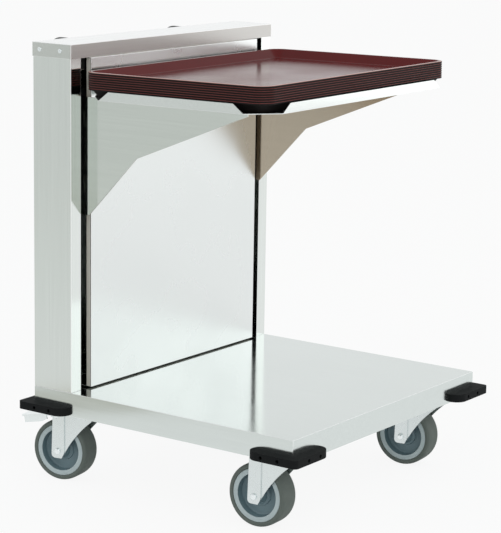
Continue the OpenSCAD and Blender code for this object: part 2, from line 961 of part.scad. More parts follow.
// The plate's upper edge, folded in under the shelf
module bracket_flange() {
    raked()
        block([plate_x + plate_t / 2 - flange_in, nose_y, -plate_t],
              [plate_x + plate_t / 2, shelf_y1 - 8, 0]);
}

// The folded bars that join the two side plates inside the tower
module upper_crossbar() {
    x = plate_x - plate_t / 2;
    color(inner_steel)
        difference() {
            block([-x, upper_bar_y, plate_top - upper_bar_h], [x, bar_back, plate_top]);
            block([-x - 1, upper_bar_y + bar_t, plate_top - upper_bar_h - 1],
                  [x + 1, bar_back + 1, plate_top - bar_t]);
        }
}

module lower_crossbar() {
    x = plate_x - plate_t / 2;
    color(inner_steel)
        difference() {
            block([-x, lower_bar_y, lower_bar_z], [x, bar_back, lower_bar_z + bar_h]);
            block([-x - 1, lower_bar_y + bar_t, lower_bar_z + bar_t],
                  [x + 1, bar_back - bar_t, lower_bar_z + bar_h + 1]);
            for (sx = spring_x)
                translate([sx, spring_y, lower_bar_z - 1])
                    cylinder(h = bar_t + 2, d = spring_hole, $fn = round_fn);
        }
}

// Shouldered pins, riveted through the side plates
module roller_pins() {
    color(zinc)
        for (s = [0, 1], z = [roller_low_z, roller_high_z])
            mirror([s, 0, 0])
                translate([0, rail_y, z]) {
                    rod_x(plate_x - plate_t / 2 - 1, roller_side + 2, pin_d);
                    rod_x(plate_x + plate_t / 2 + 0.05, roller_side - roller_w - touch, spacer_d);
                    rod_x(plate_x - plate_t / 2 - pin_head_h, plate_x - plate_t / 2 - 0.05, pin_head_d);
                    rod_x(roller_side + touch, roller_side + 1.5, pin_d + 4);
                }
}

// A nylon roller on its pin
module roller(left, z) {
    color(wheel_grey)
        on_side(left)
            translate([0, rail_y, z])
                difference() {
                    rod_x(roller_side - roller_w, roller_side, roller_d);
                    rod_x(roller_side - roller_w - 1, roller_side + 1, pin_d + 2 * run_gap);
                }
}

// A tray's section: distance in from the outer edge, and height. The wall slopes enough for
// each tray to sink into the one below until the rims nearly meet, and the floor runs in as
// far as the corners' centres.
function tray_section() =
    let (skin = tray_t * sqrt(1 + wall_run * wall_run), edge = 0.8, low = tray_h - tray_rim)
    [[edge, low], [0, low + edge], [0, tray_h - edge], [edge, tray_h],
     [rim_w, tray_h], [toe_w, tray_t], [tray_r, tray_t], [tray_r, 0],
     [rim_w - skin + wall_run * tray_h, 0], [rim_w - skin + wall_run * tray_rim, low]];

module tray_profile() {
    polygon([for (p = tray_section()) [tray_r - p[0], p[1]]]);
}

// A tray: a flat floor, a sloping wall and a rim, with round corners
module tray(i) {
    long = tray_w / 2 - tray_r;
    short = tray_d / 2 - tray_r;
    color(maroon)
        raked()
            translate([0, tray_y, sheet + tray_lift + i * tray_pitch]) {
                for (k = [0:3])
                    mirror([k % 2, 0, 0])
                        mirror([0, floor(k / 2), 0])
                            translate([long, short, 0])
                                rotate_extrude(angle = 90, $fn = 96)
                                    tray_profile();
                for (s = [0, 1]) {
                    rotate([0, 0, 180 * s])
                        translate([0, short, 0])
                            tray_run(long);
                    rotate([0, 0, 180 * s + 90])
                        translate([0, long, 0])
                            tray_run(short);
                }
                block([-long, -short, 0], [long, short, tray_t]);
            }
}

// A straight run of the tray's edge along X, from the corners' centres outwards
module tray_run(half) {
    rotate([90, 0, 90])
        translate([0, 0, -half])
            linear_extrude(2 * half)
                tray_profile();
}

// Moves a piece drawn about the middle of the base to its place about the outline's middle
module placed() {
    translate([0, -middle_y, 0])
        children();
}

// Places a castor's part at a corner, trailing towards the back, turned as the castor stands
module at_castor(i) {
    placed()
        translate([corner_x(i), corner_y(i), 0])
            rotate([0, 0, castor_yaw[i]])
                children();
}

placed() base_deck();
placed() deck_channels();
placed() castor_plates();
placed() castor_bolts();
for (i = [0:3]) {
    placed() bumper(i);
    at_castor(i) fork(i > 1);
    at_castor(i) wheel_centre();
    at_castor(i) tyre();
    at_castor(i) axle();
}
at_castor(2) brake_pedal();  // brake_pedal_back_left
at_castor(3) brake_pedal();  // brake_pedal_back_right
placed() bumper_screws();
placed() tower_side(true);  // tower_side_left
placed() tower_side(false);  // tower_side_right
placed() rear_panel();
placed() front_panel();
placed() top_cap();
placed() cap_rivets();
placed() guide_rail(true);  // guide_rail_left
placed() guide_rail(false);  // guide_rail_right
placed() spring_beam();
placed() floor_plate();
placed() stop_buffers();
placed() push_handle(true);  // push_handle_left
placed() push_handle(false);  // push_handle_right
placed() handle_bolts();
placed() lift_springs();
placed() bracket(true);  // bracket_left
placed() bracket(false);  // bracket_right
placed() upper_crossbar();
placed() lower_crossbar();
placed() tray_shelf();
placed() roller_pins();
placed() roller(true, roller_high_z);  // roller_upper_left
placed() roller(false, roller_high_z);  // roller_upper_right
placed() roller(true, roller_low_z);  // roller_lower_left
placed() roller(false, roller_low_z);  // roller_lower_right
for (i = [0:len(tray_names) - 1])
    placed() tray(i);
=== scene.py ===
"""Self-levelling tray dispenser on castors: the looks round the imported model.

Every length is in metres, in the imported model's own frame: floor under the middle of the
outline, +Z up, the open front towards -Y.
"""
import json
import math

import bmesh
import bpy
from mathutils import Matrix, Vector


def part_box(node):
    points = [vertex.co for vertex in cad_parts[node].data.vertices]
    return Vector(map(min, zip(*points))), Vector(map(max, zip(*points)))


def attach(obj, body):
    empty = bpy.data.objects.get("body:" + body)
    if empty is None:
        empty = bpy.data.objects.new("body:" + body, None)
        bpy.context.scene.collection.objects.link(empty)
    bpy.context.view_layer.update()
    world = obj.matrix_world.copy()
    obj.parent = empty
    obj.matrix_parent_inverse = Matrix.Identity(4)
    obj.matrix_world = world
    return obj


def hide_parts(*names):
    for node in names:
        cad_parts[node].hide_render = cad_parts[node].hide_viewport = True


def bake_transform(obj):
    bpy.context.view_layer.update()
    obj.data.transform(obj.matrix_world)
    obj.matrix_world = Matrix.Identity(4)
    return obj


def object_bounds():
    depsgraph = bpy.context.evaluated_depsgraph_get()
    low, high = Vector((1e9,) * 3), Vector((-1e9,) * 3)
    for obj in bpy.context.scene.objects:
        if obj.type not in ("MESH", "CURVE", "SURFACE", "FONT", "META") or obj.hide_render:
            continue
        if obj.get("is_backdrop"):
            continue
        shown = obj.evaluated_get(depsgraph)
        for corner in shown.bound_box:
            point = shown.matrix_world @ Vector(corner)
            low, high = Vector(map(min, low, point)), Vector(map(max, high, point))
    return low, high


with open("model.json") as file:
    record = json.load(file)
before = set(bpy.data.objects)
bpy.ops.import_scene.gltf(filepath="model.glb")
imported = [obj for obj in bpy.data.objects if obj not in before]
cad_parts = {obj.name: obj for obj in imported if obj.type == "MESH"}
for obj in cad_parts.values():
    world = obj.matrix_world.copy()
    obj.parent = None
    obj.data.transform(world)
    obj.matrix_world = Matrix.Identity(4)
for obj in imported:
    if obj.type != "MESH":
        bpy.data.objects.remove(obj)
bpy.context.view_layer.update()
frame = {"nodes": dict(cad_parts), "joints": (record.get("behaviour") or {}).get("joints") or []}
nodes = frame["nodes"]
MM = 0.001
CORNERS = ("front_left", "front_right", "back_left", "back_right")
SIDES = ("left", "right")


# The camera
# A long lens a little above the shelf, turned to the dispenser's front left corner. The
# picture is upright, so the sensor's long side is its height.
PICTURE = (501, 533)
SENSOR = 36.0
FOCAL_PIXELS = 2098.13
AZIMUTH, ELEVATION, ROLL = (math.radians(a) for a in (-54.42, 11.52, 0.92))
DISTANCE = 4.2199
TARGET = Vector((-0.0329, -0.030, 0.4389))

forward = Vector((-math.sin(AZIMUTH) * math.cos(ELEVATION),
                  math.cos(AZIMUTH) * math.cos(ELEVATION),
                  -math.sin(ELEVATION)))
level_right = forward.cross(Vector((0, 0, 1))).normalized()
level_up = level_right.cross(forward)
right = level_right * math.cos(ROLL) + level_up * math.sin(ROLL)
up = level_up * math.cos(ROLL) - level_right * math.sin(ROLL)
lens = bpy.data.cameras.new("camera")
lens.sensor_width = SENSOR
lens.lens = FOCAL_PIXELS / max(PICTURE) * SENSOR
camera = bpy.data.objects.new("camera", lens)
camera.matrix_world = Matrix((
    (right.x, up.x, -forward.x, TARGET.x - forward.x * DISTANCE),
    (right.y, up.y, -forward.y, TARGET.y - forward.y * DISTANCE),
    (right.z, up.z, -forward.z, TARGET.z - forward.z * DISTANCE),
    (0, 0, 0, 1)))
bpy.context.scene.collection.objects.link(camera)
bpy.context.scene.camera = camera
bpy.context.scene.view_settings.view_transform = "Standard"


# The floor and the studio
# A white sweep under a pale room that is a little darker overhead, and two very wide soft
# lamps. In mirror images only, the floor glows greyer far behind the dispenser: a painted
# reflection, which gives its left sides their tone.
def linear(hex_colour):
    """An sRGB hex colour as linear red, green, blue and alpha."""
    parts = [int(hex_colour[i:i + 2], 16) / 255 for i in (0, 2, 4)]
    return [p / 12.92 if p <= 0.04045 else ((p + 0.055) / 1.055) ** 2.4 for p in parts] + [1.0]


def add_node(tree, kind, inputs=None, **settings):
    """Adds a node with its settings. An input is given a value, a socket that it is linked to,
    or a node whose first output it is linked to."""
    node = tree.nodes.new(kind)
    for name, value in settings.items():
        setattr(node, name, value)
    for socket, value in (inputs or {}).items():
        if isinstance(value, bpy.types.Node):
            value = value.outputs[0]
        if isinstance(value, bpy.types.NodeSocket):
            tree.links.new(value, node.inputs[socket])
        else:
            node.inputs[socket].default_value = value
    return node


def new_material(name):
    """A material with an empty node tree, that tree, and the object's coordinates in it."""
    material = bpy.data.materials.new(name)
    material.use_nodes = True
    tree = material.node_tree
    tree.nodes.clear()
    return material, tree, add_node(tree, "ShaderNodeTexCoord").outputs["Object"]


def surfaced(material, inputs):
    """Ends a material with one Principled shader, and gives the material back."""
    shader = add_node(material.node_tree, "ShaderNodeBsdfPrincipled", inputs)
    add_node(material.node_tree, "ShaderNodeOutputMaterial", {"Surface": shader})
    return material


def paint_ramp(ramp, stops):
    """Sets a colour ramp's stops from pairs of position and hex colour."""
    elements = ramp.color_ramp.elements
    while len(elements) > 1:
        elements.remove(elements[-1])
    for k, (position, hex_colour) in enumerate(stops):
        stop = elements[0] if k == 0 else elements.new(position)
        stop.position = position
        stop.color = linear(hex_colour)
    return ramp


def pale_room(strength=0.95):
    """The world: a pale room in mirror images and as light, and plain white where it is seen."""
    world = bpy.data.worlds.new("pale_room")
    bpy.context.scene.world = world
    world.use_nodes = True
    tree = world.node_tree
    tree.nodes.clear()
    place = add_node(tree, "ShaderNodeTexCoord")
    parts = add_node(tree, "ShaderNodeSeparateXYZ", {0: place.outputs["Generated"]})
    height = add_node(tree, "ShaderNodeMath", {0: parts.outputs["Z"], 1: 0.0}, operation="MAXIMUM")
    wall = paint_ramp(add_node(tree, "ShaderNodeValToRGB", {0: height}),
                      [(0.0, "fcfdfd"), (0.25, "fdfefe"), (0.55, "e4e7e7"), (1.0, "e4e7e7")])
    room = add_node(tree, "ShaderNodeBackground", {"Color": wall.outputs["Color"],
                                                   "Strength": strength})
    white = add_node(tree, "ShaderNodeBackground", {"Color": linear("ffffff"), "Strength": 1.0})
    path = add_node(tree, "ShaderNodeLightPath")
    seen = add_node(tree, "ShaderNodeMixShader", {0: path.outputs["Is Camera Ray"],
                                                  1: room, 2: white})
    add_node(tree, "ShaderNodeOutputWorld", {"Surface": seen})


def soft_lamp(name, place, aim, size, watts):
    """A rectangular area lamp at a place, turned to a point."""
    light = bpy.data.lights.new(name, "AREA")
    light.shape = "RECTANGLE"
    light.size, light.size_y = size
    light.energy = watts
    lamp = bpy.data.objects.new(name, light)
    lamp.location = place
    lamp.rotation_euler = (Vector(aim) - Vector(place)).to_track_quat("-Z", "Y").to_euler()
    bpy.context.scene.collection.objects.link(lamp)


def white_floor(half=14.0, white_share=0.9, far=5.0, wobble=0.35):
    """The floor: mostly plain white where it is seen, with a faint shadow of the dispenser. In
    mirror images it glows with a painted reflection: a beige band with a wobbly edge, 1 m
    behind and to the left, and light grey beyond it."""
    material, tree, spot = new_material("white_floor")
    matt = add_node(tree, "ShaderNodeBsdfDiffuse", {"Color": linear("dcdede")})
    behind_left = add_node(tree, "ShaderNodeVectorMath", {0: spot, 1: (-0.81, 0.58, 0.0)},
                           operation="DOT_PRODUCT")
    ripple = add_node(tree, "ShaderNodeTexNoise", {"Vector": spot, "Scale": 2.2, "Detail": 1.0})
    edge = add_node(tree, "ShaderNodeMath", {0: ripple, 1: wobble,
                                             2: behind_left.outputs["Value"]},
                    operation="MULTIPLY_ADD")
    away = add_node(tree, "ShaderNodeMapRange", {0: edge, 1: wobble / 2, 2: far + wobble / 2})
    # Painted reflection: the tones that the floor glows in for glossy rays only.
    tone = paint_ramp(add_node(tree, "ShaderNodeValToRGB", {0: away}),
                      [(0.0, "feffff"), (0.19, "fafbfa"), (0.197, "d3d3cb"), (0.232, "cfcec4"),
                       (0.243, "eceeed"), (0.45, "e4e7e5"), (0.8, "dcdfdc"), (1.0, "dadddb")])
    mirrored = add_node(tree, "ShaderNodeEmission", {"Color": tone.outputs["Color"],
                                                     "Strength": 1.0})
    white = add_node(tree, "ShaderNodeEmission", {"Color": linear("ffffff"), "Strength": 1.0})
    path = add_node(tree, "ShaderNodeLightPath")
    glow = add_node(tree, "ShaderNodeMixShader", {0: path.outputs["Is Camera Ray"],
                                                  1: mirrored, 2: white})
    looked_at = add_node(tree, "ShaderNodeMath", {0: path.outputs["Is Camera Ray"],
                                                  1: path.outputs["Is Glossy Ray"]},
                         operation="MAXIMUM")
    share = add_node(tree, "ShaderNodeMath", {0: looked_at, 1: white_share}, operation="MULTIPLY")
    seen = add_node(tree, "ShaderNodeMixShader", {0: share, 1: matt, 2: glow})
    add_node(tree, "ShaderNodeOutputMaterial", {"Surface": seen})
    mesh = bpy.data.meshes.new("floor")
    mesh.from_pydata([(-half, -half, 0), (half, -half, 0), (half, half, 0), (-half, half, 0)],
                     [], [(0, 1, 2, 3)])
    mesh.materials.append(material)
    floor = bpy.data.objects.new("floor", mesh)
    bpy.context.scene.collection.objects.link(floor)
    floor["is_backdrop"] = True


pale_room()
white_floor()
soft_lamp("key_lamp", (-2.6, -3.4, 3.6), (0, 0, 0.4), (3.8, 3.8), 48)
soft_lamp("fill_lamp", (3.6, -2.6, 1.2), (0, 0, 0.4), (2.6, 1.8), 8.5)


# The base deck
# One stainless sheet of 1.5 mm, folded down on four sides and in below, with its corners
# welded and ground. The folds are round, so their edges catch the light, and their round
# faces are painted white as well, a painted highlight.
FOLD_R = 3.0 * MM
INNER_FOLD_R = 0.9 * MM
CUT_EDGE_R = 0.3 * MM


def ground_stainless(name, tone, rough, grain, wave=0.3 * MM, zones=(), streaky=1.0):
    """Stainless sheet with a fine ground grain, nearly smooth, so it gives soft mirror images.
    The scratches are 0.3 mm apart, drawn here 4 mm apart so that they show, and the larger
    wave of thin sheet is 0.3 m long. A zone is an axis, a place on it, the side of it that is
    meant, and the tone and the roughness there; the zones used here paint light, shade and
    reflections. Where the attribute fold is 1, along a fold or a cut edge, the sheet is painted
    white, a painted highlight."""
    material, tree, spot = new_material(name)
    along = add_node(tree, "ShaderNodeMapping", {"Vector": spot, "Scale": grain})
    streaks = add_node(tree, "ShaderNodeTexNoise", {"Vector": along, "Scale": 4.0,
                                                    "Detail": 5.0, "Roughness": 0.6})
    clouds = add_node(tree, "ShaderNodeTexNoise", {"Vector": spot, "Scale": 5.0, "Detail": 3.0})
    shade = add_node(tree, "ShaderNodeMapRange", {0: clouds, 1: 0.3, 2: 0.7,
                                                  3: rough * 0.8, 4: rough * 1.2})
    fine = add_node(tree, "ShaderNodeMapRange", {0: streaks, 1: 0.3, 2: 0.7,
                                                 3: -rough * 0.2 * streaky,
                                                 4: rough * 0.2 * streaky})
    total = add_node(tree, "ShaderNodeMath", {0: shade, 1: fine}, operation="ADD", use_clamp=True)
    wavy = add_node(tree, "ShaderNodeTexNoise", {"Vector": spot, "Scale": 3.4, "Detail": 0.0})
    swell = add_node(tree, "ShaderNodeBump", {"Height": wavy, "Strength": 1.0, "Distance": wave})
    scratched = add_node(tree, "ShaderNodeBump", {"Height": streaks, "Strength": 0.05 * streaky,
                                                  "Distance": 0.3 * MM, "Normal": swell})
    mottled = add_node(tree, "ShaderNodeMapRange", {0: streaks, 1: 0.3, 2: 0.7,
                                                    3: 1.0 - 0.025 * streaky,
                                                    4: 1.0 + 0.025 * streaky})
    patches = []
    for axis, plane, side_of_it, zone_tone, zone_rough in zones:
        parts = add_node(tree, "ShaderNodeSeparateXYZ", {0: spot})
        inside = add_node(tree, "ShaderNodeMath", {0: parts.outputs[axis], 1: plane},
                          operation=side_of_it)
        patches.append((inside, zone_tone, zone_rough))
    # Fold faces are painted white and a little rough: a painted highlight along the edges.
    fold = add_node(tree, "ShaderNodeAttribute", attribute_name="fold")
    patches.append((fold.outputs["Fac"], "ffffff", 0.25))
    surface, roughness = linear(tone), total
    for inside, patch_tone, patch_rough in patches:
        toned = add_node(tree, "ShaderNodeMix", {"Factor": inside, "A": surface,
                                                 "B": linear(patch_tone)}, data_type="RGBA")
        dulled = add_node(tree, "ShaderNodeMix", {"Factor": inside, "A": roughness,
                                                  "B": patch_rough})
        surface, roughness = toned.outputs["Result"], dulled.outputs["Result"]
    colour = add_node(tree, "ShaderNodeHueSaturation", {"Color": surface, "Value": mottled})
    return surfaced(material, {"Base Color": colour, "Metallic": 1.0, "Roughness": roughness,
                               "Normal": scratched})


# Corners of the CAD mesh, and of turned pieces, that are nearer than these are one
WELD = 0.01 * MM
FINE_WELD = 0.002 * MM
# A face that the rounding makes narrower than this is dropped
SLIVER = 0.004 * MM
# Facets that turn less than this lie in one plane, and facets below the other in one region
LEVEL = math.radians(0.4)
ONE_REGION = math.radians(24)


def face_regions(shape):
    """For each face, the number of the smooth region that it belongs to, and the regions."""
    region_of = {}
    regions = []
    for start in shape.faces:
        if start in region_of:
            continue
        region = []
        region_of[start] = len(regions)
        waiting = [start]
        while waiting:
            face = waiting.pop()
            region.append(face)
            for edge in face.edges:
                if len(edge.link_faces) != 2 or edge.calc_face_angle(math.pi) > ONE_REGION:
                    continue
                for other in edge.link_faces:
                    if other not in region_of:
                        region_of[other] = len(regions)
                        waiting.append(other)
        regions.append(region)
    return region_of, regions


def region_size(region):
    """The longest side of the box round a region, and its points."""
    points = [v.co for face in region for v in face.verts]
    return max(max(p[k] for p in points) - min(p[k] for p in points) for k in range(3)), points


def round_edges(name, node, fold_r=FOLD_R, inner_r=INNER_FOLD_R, cut_r=CUT_EDGE_R,
                thin=4 * MM, small=15 * MM, segments=3, sharp=None):
    """A copy of a CAD node with round edges: wide where two broad faces meet in a fold, narrow
    along a cut edge or round a hole. A region narrower than thin beside an edge, or smaller
    than small all round, makes it a cut edge. sharp(a, b) says which edges stay as they are."""
    widest = max(fold_r, cut_r)
    shape = bmesh.new()
    shape.from_mesh(nodes[node].data)
    bmesh.ops.remove_doubles(shape, verts=shape.verts, dist=WELD)
    bmesh.ops.dissolve_limit(shape, angle_limit=LEVEL, verts=shape.verts, edges=shape.edges,
                             delimit={"NORMAL"})
    region_of, regions = face_regions(shape)
    sizes = [region_size(region) for region in regions]
    weights = shape.edges.layers.float.new("bevel_weight_edge")
    for edge in shape.edges:
        if len(edge.link_faces) != 2 or edge.calc_face_angle(0) < ONE_REGION:
            continue
        a, b = (v.co for v in edge.verts)
        if sharp and sharp(a, b):
            continue
        along = (b - a).normalized()
        widths = []
        for face in edge.link_faces:
            size, points = sizes[region_of[face]]
            far = max((p - a - along * (p - a).dot(along)).length for p in points)
            widths.append(far if size > small else 0.0)
        if min(widths) < thin:
            weight = cut_r
        elif edge.is_convex:
            weight = fold_r
        else:
            weight = inner_r
        edge[weights] = weight / widest
    piece = piece_of(name, shape)
    bevel = piece.modifiers.new("round", "BEVEL")
    bevel.limit_method = "WEIGHT"
    bevel.width = widest
    bevel.segments = segments
    bevel.use_clamp_overlap = True
    bevel.miter_outer = "MITER_ARC"
    # The faces that the rounding makes get the second of two slots, which marks them for the
    # painted highlight along folds and cut edges
    piece.data.materials.clear()
    for slot in range(2):
        piece.data.materials.append(None)
    bevel.material = 1
    bake(piece)
    shape = bmesh.new()
    shape.from_mesh(piece.data)
    bmesh.ops.dissolve_degenerate(shape, dist=SLIVER, edges=shape.edges)
    on_fold = shape.faces.layers.float.new("fold")
    for face in shape.faces:
        face[on_fold] = float(face.material_index)
        face.material_index = 0
    shape.to_mesh(piece.data)
    shape.free()
    return settle(piece)


def piece_of(name, shape):
    """Turns a mesh being made into an object in the scene."""
    mesh = bpy.data.meshes.new(name)
    shape.to_mesh(mesh)
    shape.free()
    piece = bpy.data.objects.new(name, mesh)
    bpy.context.scene.collection.objects.link(piece)
    return piece


def bake(piece):
    """Turns a piece's modifiers into plain mesh."""
    bpy.context.view_layer.update()
    graph = bpy.context.evaluated_depsgraph_get()
    mesh = bpy.data.meshes.new_from_object(piece.evaluated_get(graph))
    piece.modifiers.clear()
    piece.data = mesh
    mesh.name = piece.name


def settle(piece, smooth_angle=32):
    """Bakes a piece and shades it smooth up to an angle, with its broad faces kept flat."""
    bake(piece)
    mesh = piece.data
    mesh.polygons.foreach_set("use_smooth", [True] * len(mesh.polygons))
    mesh.set_sharp_from_angle(angle=math.radians(smooth_angle))
    flat = piece.modifiers.new("flat_faces", "WEIGHTED_NORMAL")
    flat.weight = 100
    flat.keep_sharp = True
    bake(piece)
    return piece


def dress(piece, material, body, node):
    """Gives a finished piece its material and body, and hides the CAD node it stands for."""
    piece.data.materials.clear()
    piece.data.materials.append(material)
    if body:
        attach(piece, body)
    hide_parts(node)


def round_piece(name, node, material, body, slot, **widths):
    """A dressed piece that is a CAD node with round edges, whose widths round_edges explains."""
    dress(round_edges(name, node, **widths), material, body, node)


def finish_node(node, material):
    """Gives a CAD node that stays as it is its material."""
    data = nodes[node].data
    if not data.materials:
        data.materials.append(material)
    for k in range(len(data.materials)):
        data.materials[k] = material


deck_low, deck_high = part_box("base_deck")
tower_low, tower_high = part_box("tower_side_left")


def under_tower(a, b):
    """The deck's top edges that the tower stands on, which are ground flush with it."""
    return min(a.z, b.z) > deck_high.z - MM and min(a.y, b.y) > tower_low.y - 2 * MM


deck_steel = ground_stainless("ground_stainless_deck", "d6dcda", rough=0.12, grain=(60, 1, 60))
round_piece("deck_sheet", "base_deck", deck_steel, "cart", "stainless_sheet", sharp=under_tower)


# Channels under the deck, and the steel inside the tower
# Folded mill-finish stainless: two channels for the castors, the guide rails and the
# carriage's crossbars. Its grey is partly the mill finish and partly painted shade, darker
# than the outer sheet so the inside of the tower stays dim. The beam for the springs and the
# floor plate are painted nearly black, as painted shade, so the slots and the gap under the
# panel look black.
# Its grey is partly the mill finish and partly painted shade inside the tower.
mill_and_shade_steel = ground_stainless("mill_finish_shaded_stainless", "8d9190", rough=0.45, grain=(1, 40, 40))
# Nearly black: painted shade, so the slots and the gap under the panel look black.
painted_shade_steel = ground_stainless("painted_shade_dark_steel", "2a2c2c", rough=0.6, grain=(1, 40, 40))
for node, body in (("deck_channels", "cart"), ("guide_rail_left", "cart"),
                   ("guide_rail_right", "cart"), ("spring_beam", "cart"),
                   ("upper_crossbar", "carriage"), ("lower_crossbar", "carriage")):
    round_piece("folded_" + node, node, painted_shade_steel if node == "spring_beam" else mill_and_shade_steel,
                body, "stainless_sheet", fold_r=1.6 * MM, inner_r=0.8 * MM, segments=2)
finish_node("floor_plate", painted_shade_steel)


# The corner bumpers
# Solid black rubber, moulded with round upper and lower edges, each leg held by two screws at
# the bottom of wider holes.
def moulded_rubber(name, tone, dust_tone, rough=0.7, grit=0.5 * MM, dust=0.06, gloss=0.12):
    """Matt rubber: a fine pitted skin and slightly dusty patches of 25 mm. The pits are 0.5 mm
    apart, drawn up to four times as coarse so that they show. They swallow light, so the gloss
    level is low."""
    material, tree, spot = new_material(name)
    pits = add_node(tree, "ShaderNodeTexNoise", {"Vector": spot, "Scale": 0.25 / grit,
                                                 "Detail": 4.0})
    patches = add_node(tree, "ShaderNodeTexNoise", {"Vector": spot, "Scale": 40.0, "Detail": 4.0})
    amount = add_node(tree, "ShaderNodeMapRange", {0: patches, 1: 0.4, 2: 0.75, 3: 0.0, 4: dust})
    colour = add_node(tree, "ShaderNodeMix", {"Factor": amount, "A": linear(tone),
                                              "B": linear(dust_tone)}, data_type="RGBA")
    bumps = add_node(tree, "ShaderNodeBump", {"Height": pits, "Strength": 0.15,
                                              "Distance": 0.3 * MM})
    return surfaced(material, {"Base Color": colour.outputs["Result"], "Roughness": rough,
                               "IOR": 1.5, "Specular IOR Level": gloss, "Normal": bumps})


def on_the_skirt(a, b):
    """A bumper's edges that lie flat on the deck's skirt."""
    near = 0.1 * MM
    beside = all(abs(abs(p.x) - deck_high.x) < near for p in (a, b))
    before = all(abs(p.y - deck_low.y) < near for p in (a, b))
    behind = all(abs(p.y - deck_high.y) < near for p in (a, b))
    return beside or before or behind


bumper_rubber = moulded_rubber("moulded_black_rubber", "141617", "3c3e3c")
for corner in CORNERS:
    round_piece("corner_bumper_" + corner, "bumper_" + corner, bumper_rubber, "cart",
                "black_rubber", fold_r=2.2 * MM, inner_r=0.5 * MM, cut_r=0.5 * MM,
                small=22 * MM, segments=4, sharp=on_the_skirt)


# Bumper screws
# Sixteen zinc-plated screws with nuts behind the skirt. Each has a low round head with a drive
# hole, deep in the bumper's hole.
def bright_zinc(name, tone="edf2f3", rough=0.22):
    """Bright zinc plating: bluish white, with a very faint mottle of 12 mm from the bath."""
    material, tree, spot = new_material(name)
    mottle = add_node(tree, "ShaderNodeTexNoise", {"Vector": spot, "Scale": 80.0, "Detail": 2.0})
    roughness = add_node(tree, "ShaderNodeMapRange", {0: mottle, 1: 0.3, 2: 0.7,
                                                      3: rough - 0.04, 4: rough + 0.04})
    value = add_node(tree, "ShaderNodeMapRange", {0: mottle, 1: 0.3, 2: 0.7, 3: 0.97, 4: 1.02})
    colour = add_node(tree, "ShaderNodeHueSaturation", {"Color": linear(tone), "Value": value})
    return surfaced(material, {"Base Color": colour, "Metallic": 1.0, "Roughness": roughness})


def group_with(name, inputs):
    """A Geometry Nodes group whose inputs are the points, the given sizes and a material."""
    tree = bpy.data.node_groups.new(name, "GeometryNodeTree")
    tree.interface.new_socket("Points", in_out="INPUT", socket_type="NodeSocketGeometry")
    for label, value in inputs:
        kind = "NodeSocketInt" if isinstance(value, int) else "NodeSocketFloat"
        socket = tree.interface.new_socket(label, in_out="INPUT", socket_type=kind)
        socket.default_value = value
    tree.interface.new_socket("Finish", in_out="INPUT", socket_type="NodeSocketMaterial")
    tree.interface.new_socket("Result", in_out="OUTPUT", socket_type="NodeSocketGeometry")
    return tree, add_node(tree, "NodeGroupInput").outputs


def place_on_points(tree, sizes, parts, rotation=None):
    """Ends a tree: joins the parts, puts them on each point, and gives them their finish."""
    joined = add_node(tree, "GeometryNodeJoinGeometry")
    for part in parts:
        tree.links.new(part.outputs[0], joined.inputs[0])
    placed = add_node(tree, "GeometryNodeInstanceOnPoints", {"Points": sizes["Points"],
                                                             "Instance": joined})
    if rotation:
        tree.links.new(rotation, placed.inputs["Rotation"])
    real = add_node(tree, "GeometryNodeRealizeInstances", {0: placed})
    finished = add_node(tree, "GeometryNodeSetMaterial", {"Geometry": real,
                                                          "Material": sizes["Finish"]})
    add_node(tree, "NodeGroupOutput", {0: finished})


INTO_HEAD = 0.4 * MM


